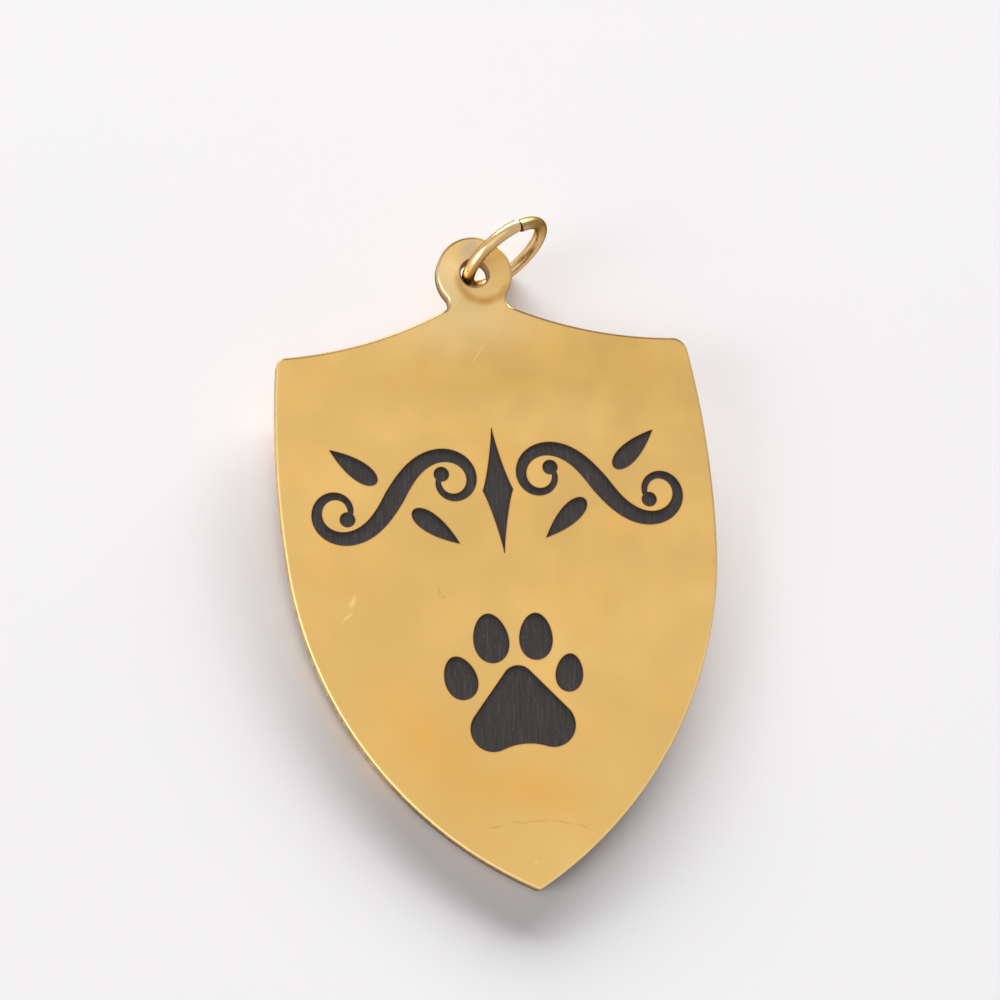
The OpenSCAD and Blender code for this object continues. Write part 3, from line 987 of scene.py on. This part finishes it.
def plate_brass():
    """Satin brass: soft clouds, bright worn edges, browner cut walls, scratches, smudges, painted
    shade, and a painted shadow and reflection of the ring.
    """
    made, nodes, links, shader = material("satin_pale_brass", roughness=0.4, metallic=1.0)
    place = own_place(nodes, links)
    base = ramp(nodes, links, noise(nodes, links, place, scale=75), CLOUDS)
    warmth = ramp(nodes, links, noise(nodes, links, place, scale=190), WARM_SHARE)
    base = mixed(nodes, links, warmth, base, WARM_BRASS)
    for places, strength, colour in FACE_PATCHES:
        base = painted(nodes, links, base, ovals(nodes, links, places), strength, colour)
    marks = ovals(nodes, links, SCRATCHES)
    base = painted(nodes, links, base, marks, SCRATCH_STRENGTH, SCRATCHED_BRASS)
    smears = ovals(nodes, links, SMEARS)
    base = painted(nodes, links, base, smears, SMEAR_STRENGTH, SMEARED_BRASS)

    edge = attribute(nodes, "edge")
    worn = ramp(nodes, links, edge, WORN_BAND)
    base = mixed(nodes, links, worn, base, WORN_BRASS)
    cut = ramp(nodes, links, edge, CUT_BAND)
    upright = own_place(nodes, links, stretch=(1, 1, 0.15))
    grain = noise(nodes, links, upright, scale=2600, detail=3.0)
    base = mixed(nodes, links, cut, base, ramp(nodes, links, grain, CUT_BRASS))
    # Stain and painted shade: scorch round the pockets, and painted shade on the edges and in the
    # hole, in brown and then dark
    stain_and_shade = attribute(nodes, "stain_and_shade")
    base = painted(nodes, links, base, stain_and_shade, BROWN_STAIN_AND_SHADE_STRENGTH, BROWN_STAIN_AND_SHADE)
    at_edge = ramp(nodes, links, edge, DARK_STAIN_AND_SHADE_BAND)
    dark_stain_and_shade = sums(nodes, links, at_edge, stain_and_shade, "MULTIPLY")
    base = mixed(nodes, links, dark_stain_and_shade, base, DARK_STAIN_AND_SHADE)
    links.new(base, shader.inputs["Base Color"])

    smudges = noise(nodes, links, place, scale=260, detail=3.0)
    soft = ramp(nodes, links, smudges, FACE_ROUGHNESS)
    soft = mixed(nodes, links, worn, soft, WORN_ROUGHNESS)
    soft = mixed(nodes, links, cut, soft, CUT_ROUGHNESS)
    soft = mixed(nodes, links, dark_stain_and_shade, soft, DARK_STAIN_AND_SHADE_ROUGHNESS)
    links.new(soft, shader.inputs["Roughness"])
    some_way = own_place(nodes, links, stretch=(1, 0.03, 1), turn=64)
    other_way = own_place(nodes, links, stretch=(1, 0.03, 1), turn=-38)
    hairs = noise(nodes, links, some_way, scale=5200)
    other_hairs = noise(nodes, links, other_way, scale=4300)
    scratched = sums(nodes, links, marks, SCRATCH_HEIGHT, "MULTIPLY")
    height = sums(nodes, links, sums(nodes, links, hairs, other_hairs), scratched)
    bump(nodes, links, shader, height, strength=0.5, depth=HAIR_DEPTH)
    return made


def ring_brass():
    """Bright drawn wire: a paler gold, fine lines along the wire, dull brown cut ends, and brown
    painted shade.
    """
    made, nodes, links, shader = material("bright_brass_wire", roughness=0.3, metallic=1.0)
    shader.inputs["Specular Tint"].default_value = WIRE_SHEEN
    clouds = noise(nodes, links, own_place(nodes, links), scale=500)
    base = ramp(nodes, links, clouds, WIRE_BRASS)
    wire_place = attribute(nodes, "wire_place", "Vector")
    drawn = noise(nodes, links, wire_place, scale=5.0, detail=3.0, roughness=0.6)
    base = mixed(nodes, links, ramp(nodes, links, drawn, DRAWN_SHARE), base, DRAWN_BRASS)
    # Painted shade on the wire
    wire_shade = sums(nodes, links, attribute(nodes, "stain_and_shade"), WIRE_SHADE_STRENGTH, "MULTIPLY")
    base = mixed(nodes, links, wire_shade, base, WIRE_SHADE_BROWN)
    cut = attribute(nodes, "edge")
    base = mixed(nodes, links, cut, base, CUT_WIRE)
    links.new(base, shader.inputs["Base Color"])
    soft = ramp(nodes, links, drawn, WIRE_ROUGHNESS)
    soft = mixed(nodes, links, wire_shade, soft, WIRE_SHADE_ROUGHNESS)
    soft = mixed(nodes, links, cut, soft, CUT_WIRE_ROUGHNESS)
    links.new(soft, shader.inputs["Roughness"])
    bump(nodes, links, shader, drawn, strength=0.4, depth=DRAWN_DEPTH)
    return made


def black_enamel():
    """Charcoal filling with fine upright streaks and a darker rim at the pocket's wall."""
    made, nodes, links, shader = material("charcoal_enamel", roughness=0.5)
    shader.inputs["Specular IOR Level"].default_value = 0.3
    long_way = own_place(nodes, links, stretch=(1, 0.045, 1), turn=-5)
    short_way = own_place(nodes, links, stretch=(1, 0.16, 1), turn=-5)
    streaks = noise(nodes, links, long_way, scale=6500, detail=3.0, roughness=0.65)
    dashes = noise(nodes, links, short_way, scale=11000, detail=2.0, roughness=0.6)
    base = ramp(nodes, links, streaks, CHARCOAL)
    base = mixed(nodes, links, ramp(nodes, links, dashes, FLECK_SHARE), base, PALE_FLECKS)
    rim = ramp(nodes, links, attribute(nodes, "edge"), RIM_BAND)
    base = mixed(nodes, links, rim, base, RED_RIM)
    links.new(base, shader.inputs["Base Color"])
    soft = ramp(nodes, links, dashes, ENAMEL_ROUGHNESS)
    links.new(soft, shader.inputs["Roughness"])
    height = sums(nodes, links, streaks, dashes)
    bump(nodes, links, shader, height, strength=0.5, depth=STREAK_DEPTH)
    return made


def dress(piece, stands_for, body, finish):
    """Gives a piece its material and its body, and hides the CAD node that it stands for."""
    piece.data.materials.append(finish)
    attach(piece, body)
    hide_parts(stands_for)


dress(plate_piece(), "tag_plate", "tag", plate_brass())
dress(ring_piece(), "jump_ring", "ring", ring_brass())
enamel = black_enamel()
for node_name, outline in figures.items():
    dress(filling_piece(node_name, outline), node_name, "tag", enamel)


# Table, light and camera


def table():
    """A plain pale table top under the tag."""
    mesh = bpy.data.meshes.new("table_top")
    corners = TABLE_REACH * np.array([(-1, -1, 0), (1, -1, 0), (1, 1, 0), (-1, 1, 0)])
    mesh.from_pydata(corners.tolist(), [], [(0, 1, 2, 3)])
    top = bpy.data.objects.new("table_top", mesh)
    bpy.context.scene.collection.objects.link(top)
    made, _, _, shader = material("pale_table", roughness=0.9)
    shader.inputs["Specular IOR Level"].default_value = 0.1
    shader.inputs["Base Color"].default_value = TABLE_TOP
    mesh.materials.append(made)


def softbox(name, turn, tilt, distance, width, height, brightness):
    """An oblong lamp that looks at the tag, at a turn round from +x and a tilt from upright.

    Its brightness is that of a surface of that radiance: power = 4 * brightness * area. It lights
    the tag and shows in the metal, and it isn't seen itself.
    """
    lamp = bpy.data.lights.new(name, "AREA")
    lamp.shape = "RECTANGLE"
    lamp.size = width
    lamp.size_y = height
    lamp.energy = 4 * brightness * width * height
    turn, tilt = np.radians([turn, tilt])
    place = [np.cos(turn) * np.sin(tilt), np.sin(turn) * np.sin(tilt), np.cos(tilt)]
    holder = bpy.data.objects.new(name, lamp)
    holder.location = distance * Vector(place)
    holder.rotation_euler = holder.location.to_track_quat("Z", "Y").to_euler()
    holder.visible_camera = False
    bpy.context.scene.collection.objects.link(holder)
    return holder


def camera():
    """The photograph's camera, from its turns against the plate's face."""
    pitch, yaw, roll = np.radians([CAMERA_PITCH, CAMERA_YAW, CAMERA_ROLL])
    rolled = turned_about((0, 0, 1), roll)
    face_to_camera = rolled @ turned_about((1, 0, 0), pitch) @ turned_about((0, 1, 0), yaw)
    face_origin = np.array([CAMERA_SIDE, 0, -FOCAL_PIXELS])
    from_face = -face_to_camera.T @ face_origin / PIXELS_PER_MM
    lens = bpy.data.cameras.new("camera")
    lens.sensor_fit = "HORIZONTAL"
    lens.angle = 2 * np.arctan(PICTURE_WIDTH / 2 / FOCAL_PIXELS)
    lens.clip_start = CAMERA_NEAR
    holder = bpy.data.objects.new("camera", lens)
    axes = np.eye(4)
    axes[:3, :3] = lying_turn @ face_to_camera.T
    axes[:3, 3] = lay_down(from_face + [*FACE_MIDDLE, PLATE_THICK])
    holder.matrix_world = Matrix(axes.tolist())
    bpy.context.scene.collection.objects.link(holder)
    bpy.context.scene.camera = holder


def pale_room():
    """An even room, the same from all sides, paler where it is seen or mirrored."""
    world = bpy.data.worlds.new("pale_room")
    world.use_nodes = True
    nodes, links = world.node_tree.nodes, world.node_tree.links
    light = nodes["Background"]
    light.inputs["Color"].default_value = (1, 1, 1, 1)
    ray = nodes.new("ShaderNodeLightPath")
    seen = sums(nodes, links, ray.outputs["Is Camera Ray"], ray.outputs["Is Glossy Ray"])
    seen = sums(nodes, links, seen, ray.outputs["Is Transmission Ray"])
    extra = sums(nodes, links, seen, ROOM_SEEN - ROOM_LIGHT, "MULTIPLY")
    links.new(sums(nodes, links, extra, ROOM_LIGHT), light.inputs["Strength"])
    bpy.context.scene.world = world


table()
pale_room()
for lamp_name, setting in SOFTBOXES.items():
    softbox(lamp_name, *setting)
# The window is only mirrored in the metal, and lights nothing else
softbox("window_panel", *WINDOW_PANEL).visible_diffuse = False
camera()
bpy.context.scene.view_settings.view_transform = "Standard"
